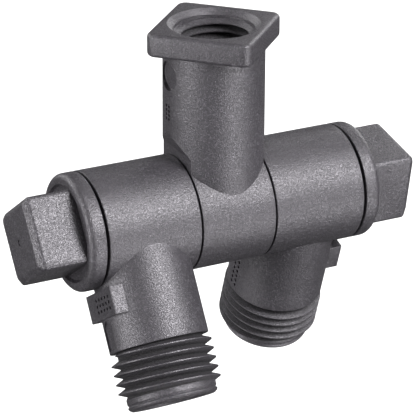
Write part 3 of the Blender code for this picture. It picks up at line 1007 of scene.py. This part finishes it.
class SPLITTER_OT_outlets(SplitterOperator, bpy.types.Operator):
    """Build the two swivelling outlets with their threads and marking pads"""

    bl_idname = "splitter.outlets"
    bl_label = "Outlets"

    def execute(self, context):
        outlet = context.scene.splitter_outlet
        threads = context.scene.splitter_threads
        joins = [self.barrel(threads), self.pad(outlet), self.ridge(outlet, threads)]
        outside = combined(self.tube(outlet, threads), joins=joins)
        bored = combined(
            outside,
            cuts=[
                self.bolt_hole(outlet, threads),
                self.passage(outlet, threads),
                self.channel(outlet),
                self.pad_marks(outlet),
                self.tube_marks(outlet),
            ],
        )
        # Painted shade in the outlet thread's grooves.
        shape = paint_groove_shade(bored, partial(self.painted_shade_depth, outlet, threads))
        for side in SIDES:
            mesh = placed(shape.copy(), side_move(side, swivel_angle(side)))
            name = side + "_outlet"
            finished(name + "_moulding", mesh, side + "_swivel", [name], "outlet_nylon")
        bpy.data.meshes.remove(shape)
        return {"FINISHED"}

    def thread_bottom(self, outlet, threads):
        """The height of the thread's lower end above the swivel axis, which is negative."""
        return -outlet.shoulder - THREAD_RUN_IN - threads.outlet_turns * threads.outlet_pitch

    def painted_shade_depth(self, outlet, threads, point, centre):
        """How deep a point lies between the outlet thread's crests, which sets the painted shade there, full
        a little above the roots.
        """
        inside = threads.outlet_root - 0.5 * MM
        early = 1.15
        radius = math.hypot(point.x - TUBE_OFFSET, point.y)
        if not self.thread_bottom(outlet, threads) < centre.z < -outlet.shoulder or radius < inside:
            return 0
        return early * (threads.outlet_major - radius) / (threads.outlet_major - threads.outlet_root)

    def barrel(self, threads):
        """The swivel barrel, along the swivel axis."""
        rounding = 0.15 * MM
        steps = threads.round_steps
        barrel = rod_mesh("barrel", BARREL_RADIUS, OUTLET_TO, OUTLET_FROM, steps, rounding, rounding)
        return placed(barrel, LYING)

    def pad(self, outlet):
        """The flat pad for marks on the tube's outer side."""
        depth = outlet.tube_radius
        size = (depth, 2 * outlet.pad_half, outlet.pad_bottom - outlet.pad_top)
        centre = (PAD_FACE - depth / 2, 0, -(outlet.pad_top + outlet.pad_bottom) / 2)
        return block_mesh("pad", size, centre, 0.2 * MM, 0.1 * MM)

    def ridge(self, outlet, threads):
        """The outlet's thread, whose lower end lies towards -Y of the tube."""
        ridge = thread_mesh(
            "outlet_ridge",
            threads.outlet_root,
            threads.outlet_major,
            threads.outlet_pitch,
            threads.outlet_turns,
            threads.thread_steps,
        )
        rise = Matrix.Translation((0, 0, self.thread_bottom(outlet, threads)))
        return placed(ridge, Matrix.Rotation(-math.pi / 2, 4, "Z"), rise, TO_TUBE)

    def tube(self, outlet, threads):
        """The tube's outside: plain, then the thread's core, then the plain end with its bead."""
        shoulder = -outlet.shoulder
        end = -outlet.tube_length
        root = threads.outlet_root
        pilot = outlet.pilot_radius
        run_out = self.thread_bottom(outlet, threads)
        corners = [
            (0, 0, 0),
            (outlet.tube_radius, 0, 0),
            (outlet.tube_radius, shoulder, 0.15 * MM),
            (root, shoulder, 0.1 * MM),
            (root, run_out + 0.5 * MM, 0),
            (pilot, run_out, 0),
            *((pilot + outward * MM, end + up * MM, rounding * MM) for outward, up, rounding in TUBE_BEAD),
            (0, end, 0),
        ]
        return placed(turned_mesh("tube", corners, threads.round_steps), TO_TUBE)

    def bolt_hole(self, outlet, threads):
        """The hole for the bolt, with the outer gasket's seat and the ring-shaped water chamber."""
        seat = OUTLET_TO - SEAT_DEPTH
        hole = outlet.shank_hole
        chamber = outlet.chamber_radius
        outer = TUBE_OFFSET + outlet.chamber_half
        inner = TUBE_OFFSET - outlet.chamber_half
        corners = [
            (0, OUTLET_TO + PAST, 0),
            (SEAT_RADIUS, OUTLET_TO + PAST, 0),
            (SEAT_RADIUS, seat, SEAT_ROUNDING),
            (hole, seat, 0),
            (hole, outer, 0),
            (chamber, outer, 0.4 * MM),
            (chamber, inner, 0.4 * MM),
            (hole, inner, 0),
            (hole, OUTLET_FROM - PAST, 0),
            (0, OUTLET_FROM - PAST, 0),
        ]
        return placed(turned_mesh("bolt_hole", corners, threads.round_steps), LYING)

    def passage(self, outlet, threads):
        """The tube's water passage, flared at its end."""
        end = -outlet.tube_length
        bore = outlet.tube_bore
        flare = 0.35 * MM
        corners = [
            (0, 0, 0),
            (bore, 0, 0),
            (bore, end + flare, 0.1 * MM),
            (bore + flare + PAST, end - PAST, 0),
            (0, end - PAST, 0),
        ]
        return placed(turned_mesh("passage", corners, threads.round_steps), TO_TUBE)

    def channel(self, outlet):
        """The sunk channel with a pointed top on the tube's outer side, under the pad."""
        half = outlet.channel_half
        tip = -outlet.pad_bottom - 0.3 * MM
        bottom = -outlet.shoulder + 0.5 * MM
        slope = 0.7
        shoulder = tip - half * slope
        outline = [(-half, bottom), (half, bottom), (half, shoulder), (0, tip), (-half, shoulder)]
        floor = TUBE_OFFSET + outlet.tube_radius - outlet.channel_depth
        prism = prism_mesh("channel", outline, 0, outlet.channel_depth + PAST)
        stand = Matrix(((0, 0, 1, floor), (1, 0, 0, 0), (0, 1, 0, 0), (0, 0, 0, 1)))
        return placed(prism, stand)

    def pad_marks(self, outlet):
        """The dots on the pad."""
        aside = 1.2 * MM
        middle = -(outlet.pad_top + outlet.pad_bottom) / 2
        return marks_on(
            (PAD_FACE, aside, middle),
            (1, 0, 0),
            0.25 * MM,
            columns=5,
            rows=3,
            spacing=(1.35 * MM, MM),
            radius=0.3 * MM,
        )

    def tube_marks(self, outlet):
        """The dots on the tube's inner side."""
        inner_side = TUBE_OFFSET - (outlet.tube_radius - 0.03 * MM)
        middle = -17.3 * MM
        return marks_on(
            (inner_side, 0, middle),
            (-1, 0, 0),
            0.25 * MM,
            columns=2,
            rows=6,
            spacing=(1.2 * MM, 1.05 * MM),
            radius=0.3 * MM,
        )


class SPLITTER_OT_bolts(SplitterOperator, bpy.types.Operator):
    """Build the two hollow clamping bolts with their collars and square heads"""

    bl_idname = "splitter.bolts"
    bl_label = "Bolts"

    def execute(self, context):
        bolt = context.scene.splitter_bolt
        threads = context.scene.splitter_threads
        for side in SIDES:
            move = side_move(side, bolt_turn(bolt, side))
            shank = placed(self.shank(bolt, threads), move)
            outside = combined(shank, joins=[placed(self.head(bolt), move), bolt_thread(context, side, 0, 0)])
            cutters = [*self.cross_holes(bolt), self.dimple()]
            mesh = combined(outside, cuts=[placed(cutter, move) for cutter in cutters])
            name = side + "_bolt"
            finished(name + "_moulding", mesh, side + "_clamp", [name], "bolt_nylon")
        return {"FINISHED"}

    def shank(self, bolt, threads):
        """The collar with its dish, the plain shank, the thread's core, and the bore from the tip."""
        collar_outer = COLLAR_INNER + bolt.collar_thickness
        dish_floor = collar_outer - bolt.dish_depth
        thread_end = BOLT_TIP + 4.1 * MM
        step = bolt.shank_radius - threads.bolt_root
        inner_rounding = 0.15 * MM
        corners = [
            (0, dish_floor, 0),
            (bolt.dish_radius - 0.45 * MM, dish_floor, 0.3 * MM),
            (bolt.dish_radius - 0.1 * MM, collar_outer, 0.12 * MM),
            (BARREL_RADIUS, collar_outer, bolt.collar_rounding - inner_rounding),
            (BARREL_RADIUS, COLLAR_INNER, inner_rounding),
            (bolt.shank_radius, COLLAR_INNER, 0),
            (bolt.shank_radius, thread_end + step, 0),
            (threads.bolt_root, thread_end, 0),
            (threads.bolt_root, BOLT_TIP, 0.3 * MM),
            (bolt.bore_radius, BOLT_TIP, 0.2 * MM),
            (bolt.bore_radius, bolt.bore_end, 0),
            (0, bolt.bore_end + 1.5 * MM, 0),
        ]
        return placed(turned_mesh("shank", corners, threads.round_steps), LYING)

    def head(self, bolt):
        """The square head, chamfered round its end, from inside the collar outwards."""
        half = bolt.head_side / 2
        chamfer = bolt.head_chamfer
        low = COLLAR_INNER + bolt.collar_thickness / 2
        rounding = 0.7 * MM
        side = [
            (0, HEAD_END, 0),
            (half - chamfer, HEAD_END, rounding),
            (half, HEAD_END - chamfer, rounding),
            (half, low, 0),
        ]
        rings = [(point.y, point.x, bolt.head_edge) for point in soft_outline(side)[1:]]
        return placed(stacked_mesh("head", rings), LYING)

    def cross_holes(self, bolt):
        """The two holes across the shank that let the water out, square to each other."""
        reach = bolt.shank_radius + PAST
        for turn in (0, math.pi / 2):
            hole = rod_mesh("cross_hole", bolt.cross_hole, reach, -reach, steps=48)
            yield placed(hole, Matrix.Rotation(turn, 4, "X"), TO_TUBE)

    def dimple(self):
        """The round dimple in the middle of the head's end."""
        return marks_on(
            (HEAD_END, 0, 0), (1, 0, 0), 0.15 * MM, columns=1, rows=1, spacing=(MM, MM), radius=0.55 * MM
        )


class SPLITTER_OT_gaskets(SplitterOperator, bpy.types.Operator):
    """Build the four flat rubber gaskets at the swivel faces"""

    bl_idname = "splitter.gaskets"
    bl_label = "Gaskets"

    def execute(self, context):
        steps = context.scene.splitter_threads.round_steps
        for side in SIDES:
            for place, body in (("inner", "tee"), ("outer", side + "_washer")):
                node = f"{side}_{place}_gasket"
                low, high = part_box(node)
                outer = (high.z - low.z) / 2
                outline = [(outer, high.x), (outer, low.x), (GASKET_HOLE, low.x), (GASKET_HOLE, high.x)]
                corners = [(*corner, GASKET_ROUNDING) for corner in outline]
                ring = placed(turned_mesh(node, corners, steps, ring=True), LYING, ON_AXIS)
                finished(node + "_ring", ring, body, [node], "gasket_rubber")
        return {"FINISHED"}


class SPLITTER_OT_stage(SplitterOperator, bpy.types.Operator):
    """Set up the camera, the pale floor and the soft studio light"""

    bl_idname = "splitter.stage"
    bl_label = "Stage"

    def execute(self, context):
        stage = context.scene.splitter_stage
        context.scene.view_settings.view_transform = "Standard"
        self.add_camera(context, stage)
        self.add_floor(stage)
        self.add_sky(context, stage)
        for name, (bearing, height, strength) in LAMPS.items():
            self.add_lamp(context, stage, name, math.radians(bearing), math.radians(height), strength)
        return {"FINISHED"}

    def add_camera(self, context, stage):
        """The camera, aimed at the middle of the swivel barrel."""
        camera = bpy.data.objects.new("camera", bpy.data.cameras.new("camera"))
        context.scene.collection.objects.link(camera)
        back = towards(stage.azimuth, stage.elevation)
        camera.location = Vector((0, 0, AXIS_HEIGHT)) + back * stage.distance
        level = (-back).to_track_quat("-Z", "Y").to_matrix()
        camera.rotation_euler = (level @ Matrix.Rotation(stage.roll, 3, "Z")).to_euler()
        camera.data.sensor_width = 36
        camera.data.lens = stage.lens
        camera.data.shift_x = stage.shift_x
        camera.data.shift_y = stage.shift_y
        camera.data.clip_start = 0.01
        camera.data.clip_end = 20
        context.scene.camera = camera

    def add_floor(self, stage):
        """The floor, which only the camera sees."""
        solid = bmesh.new()
        bmesh.ops.create_grid(solid, x_segments=1, y_segments=1, size=4)
        solid.transform(Matrix.Translation((0, 0, CAD_BOX[0].z - stage.floor_gap)))
        mesh = mesh_from("floor", solid)
        material = bpy.data.materials.new("floor_paint")
        material.use_nodes = True
        shader = material.node_tree.nodes["Principled BSDF"]
        shader.inputs["Base Color"].default_value = stage.floor
        shader.inputs["Roughness"].default_value = 0.9
        mesh.materials.append(material)
        floor = new_object("floor", mesh)
        floor.visible_diffuse = False
        floor.visible_glossy = False
        floor.visible_shadow = False

    def add_sky(self, context, stage):
        """Even white light from all round."""
        world = bpy.data.worlds.new("studio")
        world.use_nodes = True
        background = world.node_tree.nodes["Background"]
        background.inputs["Color"].default_value = (1, 1, 1, 1)
        background.inputs["Strength"].default_value = stage.sky
        context.scene.world = world

    def add_lamp(self, context, stage, name, bearing, height, strength):
        """A lamp that shines evenly from this bearing and height."""
        data = bpy.data.lights.new(name, "SUN")
        data.energy = strength * stage.light
        data.angle = stage.softness
        lamp = bpy.data.objects.new(name, data)
        context.scene.collection.objects.link(lamp)
        direction = towards(bearing, height)
        lamp.location = Vector((0, 0, AXIS_HEIGHT)) + direction
        lamp.rotation_euler = (-direction).to_track_quat("-Z", "Y").to_euler()


class VIEW3D_PT_splitter(bpy.types.Panel):
    """Sizes of the splitter and the steps that build it"""

    bl_label = "Hose splitter"
    bl_idname = "VIEW3D_PT_splitter"
    bl_space_type = "VIEW_3D"
    bl_region_type = "UI"
    bl_category = "Splitter"

    def draw(self, context):
        for name, group in GROUPS.items():
            box = self.layout.box()
            box.label(text=name.replace("splitter_", "").title())
            for key in group.__annotations__:
                box.prop(getattr(context.scene, name), key)
        for step in STEPS:
            self.layout.operator(step.bl_idname)


GROUPS = {
    "splitter_tee": SplitterTee,
    "splitter_outlet": SplitterOutlet,
    "splitter_bolt": SplitterBolt,
    "splitter_threads": SplitterThreads,
    "splitter_finish": SplitterFinish,
    "splitter_stage": SplitterStage,
}
STEPS = (
    SPLITTER_OT_stage,
    SPLITTER_OT_tee,
    SPLITTER_OT_outlets,
    SPLITTER_OT_bolts,
    SPLITTER_OT_gaskets,
)


def register():
    for name, group in GROUPS.items():
        bpy.utils.register_class(group)
        setattr(bpy.types.Scene, name, bpy.props.PointerProperty(type=group))
    for cls in (*STEPS, VIEW3D_PT_splitter):
        bpy.utils.register_class(cls)


def unregister():
    for cls in (VIEW3D_PT_splitter, *reversed(STEPS)):
        bpy.utils.unregister_class(cls)
    for name, group in reversed(list(GROUPS.items())):
        delattr(bpy.types.Scene, name)
        bpy.utils.unregister_class(group)


def main():
    register()
    bpy.ops.splitter.stage()
    bpy.ops.splitter.tee()
    bpy.ops.splitter.outlets()
    bpy.ops.splitter.bolts()
    bpy.ops.splitter.gaskets()


if __name__ == "__main__":
    main()
